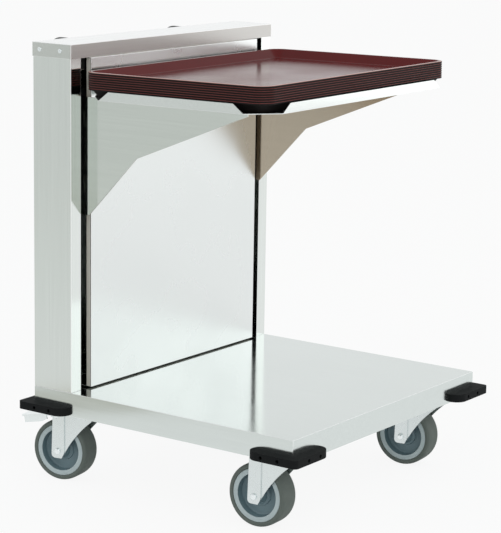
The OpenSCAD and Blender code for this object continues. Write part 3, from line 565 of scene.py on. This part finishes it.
def fastener_tree():
    """A rounded head with a hole in it, a plain shank, and a nut or a bulb behind, turned to
    each point's own direction. The sizes given here are a blind rivet's."""
    tree, sizes = group_with("turned_fastener", (
        ("Head Radius", 4.5 * MM), ("Hole Radius", 1.4 * MM), ("Head Height", 1.5 * MM),
        ("Rounding", 0.7 * MM), ("Shank Radius", 1.95 * MM), ("Shank Length", 6.0 * MM),
        ("Nut Radius", 2.0 * MM), ("Nut Height", 1.0 * MM), ("Nut Depth", 4.8 * MM),
        ("Nut Sides", 24)))
    total = add_node(tree, "ShaderNodeMath", {0: sizes["Head Radius"], 1: sizes["Hole Radius"]},
                     operation="ADD")
    middle = add_node(tree, "ShaderNodeMath", {0: total, 1: 0.5}, operation="MULTIPLY")
    wide = add_node(tree, "ShaderNodeMath", {0: sizes["Head Radius"], 1: sizes["Hole Radius"]},
                    operation="SUBTRACT")
    path = add_node(tree, "GeometryNodeCurvePrimitiveCircle", {"Resolution": 28, "Radius": middle})
    section = add_node(tree, "GeometryNodeCurvePrimitiveQuadrilateral",
                       {"Width": wide, "Height": sizes["Head Height"]})
    softened = add_node(tree, "GeometryNodeFilletCurve",
                        {"Curve": section, "Radius": sizes["Rounding"],
                         "Limit Radius": True, "Count": 3}, mode="POLY")
    ring = add_node(tree, "GeometryNodeCurveToMesh", {"Curve": path, "Profile Curve": softened})
    lift = add_node(tree, "ShaderNodeMath", {0: sizes["Head Height"], 1: 0.5},
                    operation="MULTIPLY")
    rod = add_node(tree, "GeometryNodeMeshCylinder", {"Vertices": 24,
                                                      "Radius": sizes["Shank Radius"],
                                                      "Depth": sizes["Shank Length"]})
    down = add_node(tree, "ShaderNodeMath", {0: sizes["Shank Length"], 1: -0.5,
                                             2: INTO_HEAD}, operation="MULTIPLY_ADD")
    nut = add_node(tree, "GeometryNodeMeshCylinder", {"Vertices": sizes["Nut Sides"],
                                                      "Radius": sizes["Nut Radius"],
                                                      "Depth": sizes["Nut Height"]})
    deep = add_node(tree, "ShaderNodeMath", {0: sizes["Nut Depth"], 1: -1.0}, operation="MULTIPLY")
    parts = []
    for shape, height in ((ring, lift), (rod, down), (nut, deep)):
        move = add_node(tree, "ShaderNodeCombineXYZ", {"Z": height})
        parts.append(add_node(tree, "GeometryNodeTransform", {"Geometry": shape,
                                                              "Translation": move}))
    facing = add_node(tree, "GeometryNodeInputNamedAttribute", {"Name": "facing"},
                      data_type="FLOAT_VECTOR")
    turn = add_node(tree, "FunctionNodeAlignRotationToVector",
                    {"Vector": facing.outputs["Attribute"]}, axis="Z")
    place_on_points(tree, sizes, parts, turn.outputs[0])
    return tree


def grown(name, tree, values, points, facing=None):
    """The mesh that a Geometry Nodes tree makes on some points, baked, with its faces outward."""
    mesh = bpy.data.meshes.new(name)
    mesh.from_pydata([tuple(p) for p in points], [], [])
    if facing:
        ways = mesh.attributes.new("facing", "FLOAT_VECTOR", "POINT")
        ways.data.foreach_set("vector", [c for way in facing for c in way])
    piece = bpy.data.objects.new(name, mesh)
    bpy.context.scene.collection.objects.link(piece)
    grower = piece.modifiers.new("grow", "NODES")
    grower.node_group = tree
    for socket in tree.interface.items_tree:
        if socket.name in values:
            grower[socket.identifier] = values[socket.name]
    settle(piece)
    shape = bmesh.new()
    shape.from_mesh(piece.data)
    bmesh.ops.recalc_face_normals(shape, faces=shape.faces)
    shape.to_mesh(piece.data)
    shape.free()
    return piece


zinc = bright_zinc("bright_zinc_plating")
fastener = fastener_tree()
SCREW_FIRST = 19 * MM
SCREW_APART = 37.5 * MM
# From the skirt's face to the seat of a screw's head, and to the middle of its nut
SCREW_SEAT = 8.05 * MM
SKIRT_T = 1.5 * MM
NUT_MIDDLE = SCREW_SEAT + SKIRT_T + 2.4 * MM
NUT_SIDES = 6
bumper_low, bumper_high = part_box("bumper_front_left")
screw_z = (bumper_low.z + bumper_high.z) / 2
screw_points = []
screw_ways = []
for side in (-1, 1):
    for end in (-1, 1):
        corner_y = deck_high.y if end > 0 else deck_low.y
        for k in (0, 1):
            inward = SCREW_FIRST + k * SCREW_APART
            screw_points.append((side * (deck_high.x + SCREW_SEAT), corner_y - end * inward, screw_z))
            screw_ways.append((side, 0, 0))
            screw_points.append((side * (deck_high.x - inward), corner_y + end * SCREW_SEAT, screw_z))
            screw_ways.append((0, end, 0))
screws = grown("bumper_screw_set", fastener,
               {"Finish": zinc, "Head Radius": 3.4 * MM, "Hole Radius": 1.5 * MM,
                "Head Height": 2.9 * MM, "Rounding": 0.8 * MM, "Shank Radius": 2.4 * MM,
                "Shank Length": 15.8 * MM, "Nut Radius": 5.0 * MM, "Nut Height": 4.6 * MM,
                "Nut Depth": NUT_MIDDLE, "Nut Sides": NUT_SIDES}, screw_points, screw_ways)
dress(screws, zinc, "cart", "bumper_screws")


# The castors' plates, bolts and forks
# Pressed steel, zinc plated: a bolted top plate with its ball race, and a fork bent from one
# plate over the wheel, with a raised strip down each leg.
for node in ("castor_plates", "castor_bolts"):
    finish_node(node, zinc)
# The forks' plating is a rougher copy, painted darker as painted shade under the deck.
fork_zinc_shaded = bright_zinc("dull_zinc_plating_shaded", tone="dde3e3", rough=0.28)
for corner in CORNERS:
    round_piece("pressed_fork_" + corner, "fork_" + corner, fork_zinc_shaded, "castor_" + corner,
                "zinc_plated_steel", fold_r=1.1 * MM, inner_r=1.0 * MM, cut_r=0.7 * MM,
                thin=3.5 * MM, small=14 * MM)


# The wheels
# A moulded grey plastic centre, deep between its hub and its broad flat ring, and a tyre of
# grey rubber with a slightly round tread. A plated bolt with a domed head is the axle.
WHEEL_SEGMENTS = 96
BOLT_SEGMENTS = 32
# The ring beside the tyre is painted paler, as painted light on the face that catches it:
# farther along the axle, and farther out, than these
PAINTED_LIGHT_RING = (20.4 * MM, 42.6 * MM)
joints = {joint["name"]: joint for joint in frame["joints"]}


def rounded(corners, steps=4, straight=0.02, side_share=0.48):
    """A closed outline of (along, radius) with each corner (along, radius, rounding) an arc. A
    corner that turns less than straight stays, and an arc takes up to side_share of a side."""
    outline = []
    for k, (a, b, rounding) in enumerate(corners):
        here = Vector((a, b))
        before = Vector(corners[k - 1][:2]) - here
        after = Vector(corners[(k + 1) % len(corners)][:2]) - here
        turn = math.pi - before.angle(after)
        if rounding == 0 or turn < straight:
            outline.append((a, b))
            continue
        reach = min(rounding * math.tan(turn / 2), side_share * before.length,
                    side_share * after.length)
        inward = (before.normalized() + after.normalized()).normalized()
        centre = here + inward * (reach / math.sin(turn / 2))
        spoke = here + before.normalized() * reach - centre
        handed = 1 if before.cross(after) < 0 else -1
        for step in range(steps + 1):
            outline.append(tuple(centre + Matrix.Rotation(handed * turn * step / steps, 2) @ spoke))
    return outline


def turn_into(shape, outline, centre, axle, segments):
    """Turns a closed outline of (along, radius) round an axle into a mesh being made."""
    axle = axle.normalized()
    first = Vector((0, 0, 1)) if abs(axle.z) < 0.9 else Vector((1, 0, 0))
    second = axle.cross(first)
    rings = []
    for k in range(segments):
        angle = 2 * math.pi * k / segments
        spoke = first * math.cos(angle) + second * math.sin(angle)
        rings.append([shape.verts.new(centre + axle * a + spoke * r) for a, r in outline])
    for k in range(segments):
        here, there = rings[k], rings[(k + 1) % segments]
        for i in range(len(outline)):
            j = (i + 1) % len(outline)
            shape.faces.new((here[i], there[i], there[j], here[j]))


def turned(name, bodies, centre, axle, smooth_angle=32, painted_light=None):
    """A piece of one or more turned bodies, each an outline with its number of sides. The
    painted-light argument says how far along the axle and how far out from it the places
    painted paler as painted light begin."""
    shape = bmesh.new()
    for outline, segments in bodies:
        turn_into(shape, outline, centre, axle, segments)
    bmesh.ops.remove_doubles(shape, verts=shape.verts, dist=FINE_WELD)
    on_axis = [edge for edge in shape.edges if not edge.link_faces]
    bmesh.ops.delete(shape, geom=on_axis, context="EDGES")
    bmesh.ops.recalc_face_normals(shape, faces=shape.faces)
    if painted_light:
        painted_light_layer = shape.verts.layers.float.new("painted_light")
        along_from, out_from = painted_light
        for vert in shape.verts:
            along = abs((vert.co - centre).dot(axle.normalized()))
            out = (vert.co - centre).cross(axle.normalized()).length
            vert[painted_light_layer] = 1.0 if along > along_from and out > out_from else 0.0
    return settle(piece_of(name, shape), smooth_angle)


def both_sides(half_outline):
    """A closed outline from its right half, going from the inside outwards."""
    return half_outline + [(-row[0],) + tuple(row[1:]) for row in reversed(half_outline)]


def in_mm(rows):
    """A table of lengths in millimetres, in metres."""
    return [tuple(value * MM for value in row) for row in rows]


def moulded_plastic(name, tone, rough=0.4, painted_light_tone=None):
    """Moulded plastic: satin, with a very slight unevenness of 20 mm and pores of 1 mm. Where
    the mesh's painted-light attribute is 1, it is painted a paler tone, as painted light."""
    material, tree, spot = new_material(name)
    uneven = add_node(tree, "ShaderNodeTexNoise", {"Vector": spot, "Scale": 50.0, "Detail": 3.0})
    value = add_node(tree, "ShaderNodeMapRange", {0: uneven, 1: 0.3, 2: 0.7, 3: 0.96, 4: 1.04})
    painted_light = add_node(tree, "ShaderNodeAttribute", attribute_name="painted_light")
    varied = add_node(tree, "ShaderNodeMix", {"Factor": painted_light.outputs["Fac"], "A": linear(tone),
                                            "B": linear(painted_light_tone or tone)}, data_type="RGBA")
    tint = add_node(tree, "ShaderNodeHueSaturation", {"Color": varied.outputs["Result"],
                                                      "Value": value})
    pores = add_node(tree, "ShaderNodeTexNoise", {"Vector": spot, "Scale": 900.0, "Detail": 2.0})
    bumps = add_node(tree, "ShaderNodeBump", {"Height": pores, "Strength": 0.1,
                                              "Distance": 0.2 * MM})
    return surfaced(material, {"Base Color": tint, "Roughness": rough, "IOR": 1.49,
                               "Normal": bumps})


# The centre's blue-grey is the plastic's own, made darker as painted shade of its deep recess; the
# flat ring is painted paler as painted light.
wheel_plastic = moulded_plastic("moulded_grey_plastic", "6f858c", painted_light_tone="b7c4c6")
tyre_rubber = moulded_rubber("moulded_grey_rubber", "626a65", "8b8f8a", dust=0.15, gloss=0.25)
centre_outline = rounded(in_mm(both_sides([
    (24.7, 7.05, 0.3), (24.7, 12.0, 0.6), (23.4, 12.4, 0.3), (23.4, 15.0, 1.0),
    (9.0, 17.0, 1.5), (7.2, 20.0, 0.8), (7.2, 22.5, 0.8), (4.5, 23.4, 1.0),
    (4.5, 37.0, 2.0), (5.5, 41.8, 1.6), (21.0, 42.8, 1.0), (21.0, 52.6, 0.8)])))
tyre_outline = in_mm(both_sides([
    (21.0, 52.65), (22.4, 53.3), (23.0, 54.4), (23.0, 57.4), (22.75, 58.8), (22.1, 60.0),
    (21.0, 61.0), (19.4, 61.7), (17.5, 62.1), (14.0, 62.4), (9.0, 62.5), (3.0, 62.5)]))
bolt_outline = rounded(in_mm([
    (-34.9, 0, 0), (-34.9, 3.2, 1.0), (-33.6, 6.2, 2.2), (-30.55, 6.6, 0.4), (-30.55, 5.0, 0),
    (39.4, 5.0, 0.8), (39.4, 0, 0)]))
sleeve_outline = in_mm([(-25.35, 5.1), (-25.35, 7.0), (25.35, 7.0), (25.35, 5.1)])
nut_outline = in_mm([
    (30.6, 5.05), (30.6, 8.2), (31.3, 9.2), (35.6, 9.2), (36.3, 8.4), (37.6, 6.6), (37.6, 5.05)])
for corner in CORNERS:
    spin = joints["wheel_spin_" + corner]
    centre, axle = Vector(spin["pos_m"]), Vector(spin["axis"])
    wheel = turned("moulded_wheel_" + corner, [(centre_outline, WHEEL_SEGMENTS)], centre, axle,
                   painted_light=PAINTED_LIGHT_RING)
    dress(wheel, wheel_plastic, "wheel_" + corner, "wheel_centre_" + corner)
    tyre = turned("rubber_tyre_" + corner, [(tyre_outline, WHEEL_SEGMENTS)], centre, axle,
                  smooth_angle=40)
    dress(tyre, tyre_rubber, "wheel_" + corner, "tyre_" + corner)
    bolt = turned("axle_bolt_" + corner, [(bolt_outline, BOLT_SEGMENTS),
                                          (sleeve_outline, BOLT_SEGMENTS),
                                          (nut_outline, NUT_SIDES)], centre, axle)
    dress(bolt, zinc, "castor_" + corner, "axle_" + corner)


# The brake pedals
# Pressed steel, zinc plated, on the two back castors.
for side in SIDES:
    pedal = "brake_pedal_back_" + side
    round_piece("pressed_pedal_back_" + side, pedal, zinc, pedal, "zinc_plated_steel",
                fold_r=1.0 * MM, inner_r=0.6 * MM, cut_r=0.5 * MM, thin=2.5 * MM)


# The tower
# Two folded sides, a rear panel and the cap of ground stainless, and between the slots a
# satin panel of the same. Its side returns are dull and painted paler, as painted light, and
# its parts behind them are painted nearly black, as painted shade. The cap's top is painted
# paler, as a painted highlight, and its front fold darker, as a painted reflection.
panel_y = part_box("front_panel")[0].y
cap_low, cap_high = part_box("top_cap")
tower_steel = ground_stainless("ground_stainless_tower", "e2e6e3", rough=0.12, grain=(60, 60, 1))
# The cap's front is painted darker as a painted reflection, its top paler as a painted highlight.
cap_steel = ground_stainless("ground_stainless_cap", "d0d3cf", rough=0.2, grain=(1, 60, 60),
                             zones=(("Y", tower_low.y, "LESS_THAN", "bfbdba", 0.3),
                                    ("Z", cap_high.z - MM, "GREATER_THAN", "f8f9f9", 0.2)))
# The panel's side returns are painted paler as painted light, its back parts nearly black as painted
# shade.
panel_steel = ground_stainless("ground_stainless_panel", "e6e9e8", rough=0.28, grain=(60, 60, 1),
                               zones=(("Y", panel_y + 2 * MM, "GREATER_THAN", "f0eee8", 0.9),
                                      ("Y", panel_y + 12 * MM, "GREATER_THAN", "1c1d1c", 0.6)),
                               streaky=0.05)
for side in SIDES:
    round_piece("tower_wall_" + side, "tower_side_" + side, tower_steel, "cart", "stainless_sheet")
round_piece("tower_back", "rear_panel", tower_steel, "cart", "stainless_sheet")
round_piece("satin_front", "front_panel", panel_steel, "cart", "polished_steel")
round_piece("folded_cap", "top_cap", cap_steel, "cart", "stainless_sheet")


# The cap's rivets
# Four zinc-plated blind rivets: a domed ring with the pulled pin's dark hole, a shank and the
# bulb inside.
RIVET_IN_FRONT = 25 * MM
RIVET_IN_BACK = 19 * MM
CAP_SHEET_OUT = 2.55 * MM
rivet_z = (cap_low.z + cap_high.z) / 2
rivet_points = [(side * (deck_high.x + CAP_SHEET_OUT), y, rivet_z)
                for side in (-1, 1)
                for y in (tower_low.y + RIVET_IN_FRONT, tower_high.y - RIVET_IN_BACK)]
rivets = grown("cap_rivet_set", fastener, {"Finish": zinc}, rivet_points,
               [(1 if p[0] > 0 else -1, 0, 0) for p in rivet_points])
dress(rivets, zinc, "cart", "cap_rivets")


# The lift springs
# Six extension springs, wound from 2.5 mm wire so closely that the turns touch. Each end runs
# in to the middle and hooks over the edge of a hole, in the beam above and in the bar below.
SPRING_X = (-0.230, -0.150, -0.070, 0.070, 0.150, 0.230)
TURNS = 100.0
WIRE_R = 1.25 * MM
COIL_R = 8.75 * MM
COIL_FOOT = 0.575
COIL_TOP = 0.825
HOOK_R = 5.0 * MM
spring_low, spring_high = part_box("lift_springs")
shank_length = spring_high.z - WIRE_R - HOOK_R - COIL_TOP


def spring_tree():
    """A close coil standing on each point, with a shank and a hook at both ends."""
    tree, sizes = group_with("close_coil", (
        ("Turns", TURNS), ("Coil Radius", COIL_R), ("Wire Radius", WIRE_R),
        ("Length", COIL_TOP - COIL_FOOT), ("Shank", shank_length), ("Hook Radius", HOOK_R)))
    wire = add_node(tree, "GeometryNodeCurvePrimitiveCircle", {"Resolution": 6,
                                                               "Radius": sizes["Wire Radius"]})
    spiral = add_node(tree, "GeometryNodeCurveSpiral",
                      {"Resolution": 12, "Rotations": sizes["Turns"],
                       "Start Radius": sizes["Coil Radius"], "End Radius": sizes["Coil Radius"],
                       "Height": sizes["Length"]})
    coil = add_node(tree, "GeometryNodeCurveToMesh", {"Curve": spiral, "Profile Curve": wire,
                     "Fill Caps": True})
    rim = add_node(tree, "ShaderNodeCombineXYZ", {"X": sizes["Coil Radius"]})
    inward = add_node(tree, "GeometryNodeCurvePrimitiveLine", {"Start": rim,
                                                               "End": (0, 0, 2.0 * MM)})
    top = add_node(tree, "ShaderNodeCombineXYZ", {"Z": sizes["Shank"]})
    shank = add_node(tree, "GeometryNodeCurvePrimitiveLine", {"Start": (0, 0, 1.0 * MM),
                                                              "End": top})
    arc = add_node(tree, "GeometryNodeCurveArc",
                   {"Resolution": 12, "Radius": sizes["Hook Radius"], "Start Angle": 0.0,
                    "Sweep Angle": math.pi})
    over = add_node(tree, "ShaderNodeCombineXYZ", {"X": sizes["Hook Radius"], "Z": sizes["Shank"]})
    stood = add_node(tree, "GeometryNodeTransform", {"Geometry": arc,
                                                     "Rotation": (math.pi / 2, 0, 0),
                                                     "Translation": over})
    wires = []
    for curve in (inward, shank, stood):
        wires.append(add_node(tree, "GeometryNodeCurveToMesh",
                              {"Curve": curve, "Profile Curve": wire, "Fill Caps": True}))
    hook = add_node(tree, "GeometryNodeJoinGeometry")
    for part in wires:
        tree.links.new(part.outputs[0], hook.inputs[0])
    above = add_node(tree, "ShaderNodeCombineXYZ", {"Z": sizes["Length"]})
    upper = add_node(tree, "GeometryNodeTransform", {"Geometry": hook, "Translation": above})
    lower = add_node(tree, "GeometryNodeTransform", {"Geometry": hook, "Scale": (1, 1, -1)})
    place_on_points(tree, sizes, (coil, upper, lower))
    return tree


springs = grown("lift_spring_set", spring_tree(), {"Finish": mill_and_shade_steel},
                [(x, (spring_low.y + spring_high.y) / 2, COIL_FOOT) for x in SPRING_X])
dress(springs, mill_and_shade_steel, None, "lift_springs")
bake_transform(springs)


# The stops
# Black rubber cylinders that the carriage meets at both ends of its travel.
round_piece("rubber_stops", "stop_buffers", bumper_rubber, "cart", "black_rubber",
            fold_r=2.5 * MM, inner_r=1.0 * MM, cut_r=2.5 * MM, small=10 * MM)


# The carriage
# Two side plates of 3 mm stainless, joined inside the tower, each with two nylon rollers that
# turn on shouldered pins. The plates' inner faces are painted a warmer tone, a painted
# reflection of the trays and shelf above them.
HALF_PLATE = 1.5 * MM
for side, inner_side in (("left", "GREATER_THAN"), ("right", "LESS_THAN")):
    low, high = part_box("bracket_" + side)
    outer_x = low.x if side == "left" else high.x
    inner_x = outer_x * (1 - HALF_PLATE / abs(outer_x))
    # The inner faces' warm tone is a painted reflection of the trays and shelf.
    plate_steel = ground_stainless("ground_stainless_plate_" + side, "d9ded9", rough=0.12,
                                   grain=(60, 1, 60), wave=0.15 * MM,
                                   zones=(("X", inner_x, inner_side, "c8baa9", 0.2),))
    round_piece("side_plate_" + side, "bracket_" + side, plate_steel, "carriage",
                "stainless_sheet", fold_r=1.6 * MM, cut_r=0.45 * MM)
round_piece("shouldered_pins", "roller_pins", zinc, "carriage", "zinc_plated_steel",
            fold_r=0.6 * MM, inner_r=0.3 * MM, cut_r=0.6 * MM, small=5 * MM)
nylon = moulded_plastic("turned_nylon", "e0dfd6", rough=0.45)
roller_outline = rounded(in_mm(both_sides([
    (7.0, 5.05, 0.3), (7.0, 9.0, 0.4), (5.8, 9.6, 0.4), (5.8, 13.6, 0.4), (7.0, 14.2, 0.4),
    (7.0, 17.7, 1.2)])))
for level in ("upper", "lower"):
    for side in SIDES:
        node = "roller_%s_%s" % (level, side)
        low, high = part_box(node)
        roller = turned("nylon_" + node, [(roller_outline, 64)], (low + high) / 2,
                        Vector((1, 0, 0)))
        dress(roller, nylon, node, node)


# The shelf
# One stainless sheet with its corners cut off and its four edges folded up.
shelf_steel = ground_stainless("ground_stainless_shelf", "e4e8e6", rough=0.12, grain=(1, 60, 60))
round_piece("folded_shelf", "tray_shelf", shelf_steel, "carriage", "stainless_sheet")


# The trays
# Pressed laminate of 2.4 mm, dark red inside, with a round rim whose cut edge is dark brown.
# Eight of them stand nested in each other, so that little more than the rims shows.
def tray_laminate(name, tone, edge_tone, highlight_tone, rough):
    """Pressed laminate: a smooth satin film over a fine weave of 2.4 mm. The attribute
    cut_edge is 1 where the dull brown core shows, and the painted-light attribute is 1 where the
    rim is painted pale as a painted highlight."""
    material, tree, spot = new_material(name)
    weave = add_node(tree, "ShaderNodeTexNoise", {"Vector": spot, "Scale": 420.0, "Detail": 3.0})
    patches = add_node(tree, "ShaderNodeTexNoise", {"Vector": spot, "Scale": 7.0, "Detail": 4.0})
    value = add_node(tree, "ShaderNodeMapRange", {0: patches, 1: 0.3, 2: 0.7, 3: 0.92, 4: 1.08})
    cut = add_node(tree, "ShaderNodeAttribute", attribute_name="cut_edge")
    surface = add_node(tree, "ShaderNodeMix", {"Factor": cut.outputs["Fac"], "A": linear(tone),
                                               "B": linear(edge_tone)}, data_type="RGBA")
    painted_light_mask = add_node(tree, "ShaderNodeAttribute", attribute_name="painted_light")
    painted_light = add_node(tree, "ShaderNodeMix", {"Factor": painted_light_mask.outputs["Fac"],
                                              "A": surface.outputs["Result"],
                                              "B": linear(highlight_tone)}, data_type="RGBA")
    tint = add_node(tree, "ShaderNodeHueSaturation", {"Color": painted_light.outputs["Result"],
                                                      "Value": value})
    varied = add_node(tree, "ShaderNodeMapRange", {0: patches, 1: 0.3, 2: 0.7,
                                                 3: rough * 0.8, 4: rough * 1.2})
    dulled = add_node(tree, "ShaderNodeMath", {0: cut.outputs["Fac"], 1: 0.45,
                                               2: varied}, operation="MULTIPLY_ADD")
    bumps = add_node(tree, "ShaderNodeBump", {"Height": weave, "Strength": 0.08,
                                              "Distance": 0.2 * MM})
    return surfaced(material, {"Base Color": tint, "Roughness": dulled, "IOR": 1.33,
                               "Specular IOR Level": 0.42, "Normal": bumps})


# A tray, in millimetres: its size, its corners' radius and its sheet
TRAY_W, TRAY_D, TRAY_H = 645.0, 432.0, 20.0
TRAY_R = 32.0
TRAY_T = 2.4
CORNER_STEPS = 12
# Its inner wall starts this far in at the rim, and leans in this much for each millimetre down
WALL_IN = 6.5
WALL_LEAN = 0.88
# The core shows from this far under the rim's top, and the rim's outer top corner is painted
# pale as a painted highlight this far down and in
CORE_FROM = 1.2
HIGHLIGHT_DOWN, HIGHLIGHT_IN = 0.9, 3.0
# The section: distance in from the outer edge, height and rounding
tray_skin = [(26.0, TRAY_T, 0), (21.99, TRAY_T, 7.0), (WALL_IN, TRAY_H, 1.6), (0, TRAY_H, 1.4),
             (0, 15.9, 0.9), (6.91, 15.9, 0.6), (20.9, 0, 9.0), (26.0, 0, 0)]


def is_inner(inward, z):
    """Whether a point of the section is on the tray's inner wall or floor."""
    return z > TRAY_T - 0.1 and inward > WALL_IN + WALL_LEAN * (TRAY_H - z) - 1.0


def tray_mesh(rim_highlight):
    """One tray with its floor's underside at the height 0, as a mesh being made. Its argument
    says how strongly its rim is painted pale, as a painted highlight."""
    section = rounded(tray_skin, 5)
    long, short = TRAY_W / 2 - TRAY_R, TRAY_D / 2 - TRAY_R
    shape = bmesh.new()
    cut_edge = shape.verts.layers.float.new("cut_edge")
    painted_light = shape.verts.layers.float.new("painted_light")
    rings = []
    for inward, z in section:
        ring = []
        outside = z < TRAY_H - CORE_FROM and not is_inner(inward, z)
        on_rim = z > TRAY_H - HIGHLIGHT_DOWN and inward < HIGHLIGHT_IN
        for quarter, (sx, sy) in enumerate(((1, 1), (-1, 1), (-1, -1), (1, -1))):
            for step in range(CORNER_STEPS + 1):
                angle = math.pi / 2 * (quarter + step / CORNER_STEPS)
                reach = TRAY_R - inward
                vert = shape.verts.new(Vector((sx * long + reach * math.cos(angle),
                                               sy * short + reach * math.sin(angle), z)) * MM)
                vert[cut_edge] = 1.0 if outside else 0.0
                vert[painted_light] = rim_highlight if on_rim else 0.0
                ring.append(vert)
        rings.append(ring)
    for here, there in zip(rings, rings[1:]):
        for k in range(len(here)):
            m = (k + 1) % len(here)
            shape.faces.new((here[k], here[m], there[m], there[k]))
    shape.faces.new(rings[0])
    shape.faces.new(list(reversed(rings[-1])))
    bmesh.ops.recalc_face_normals(shape, faces=shape.faces)
    return shape


def middle_of(mesh):
    """The middle of the box round a mesh."""
    low = Vector([min(v.co[k] for v in mesh.vertices) for k in range(3)])
    high = Vector([max(v.co[k] for v in mesh.vertices) for k in range(3)])
    return (low + high) / 2


# The pale tone b98f86 is the painted highlight on the rims.
laminate = tray_laminate("dark_red_laminate", "5c0f10", "0c0605", "b98f86", 0.2)
lean = Vector(joints["tray_1_lift"]["axis"])
shelf_slope = Matrix.Rotation(-math.atan2(lean.y, lean.z), 4, "X")
for k in range(1, 9):
    # The top tray's rim gets the full painted highlight, and the rims below it a faint one.
    tray = piece_of("pressed_tray_%d" % k, tray_mesh(1.0 if k == 8 else 0.22))
    tray.data.transform(shelf_slope)
    low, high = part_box("tray_%d" % k)
    tray.data.transform(Matrix.Translation((low + high) / 2 - middle_of(tray.data)))
    settle(tray, smooth_angle=40)
    dress(tray, laminate, "tray_%d" % k, "tray_%d" % k)


# The push handles
# Black plastic over a steel tube, bolted through the rear panel.
handle_plastic = moulded_plastic("moulded_black_plastic", "17191a", rough=0.4)
for side in SIDES:
    round_piece("grip_" + side, "push_handle_" + side, handle_plastic, "cart", "black_plastic",
                fold_r=1.2 * MM, inner_r=0.8 * MM, cut_r=0.5 * MM, thin=0.5 * MM, small=8 * MM)
finish_node("handle_bolts", zinc)

low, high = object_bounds()
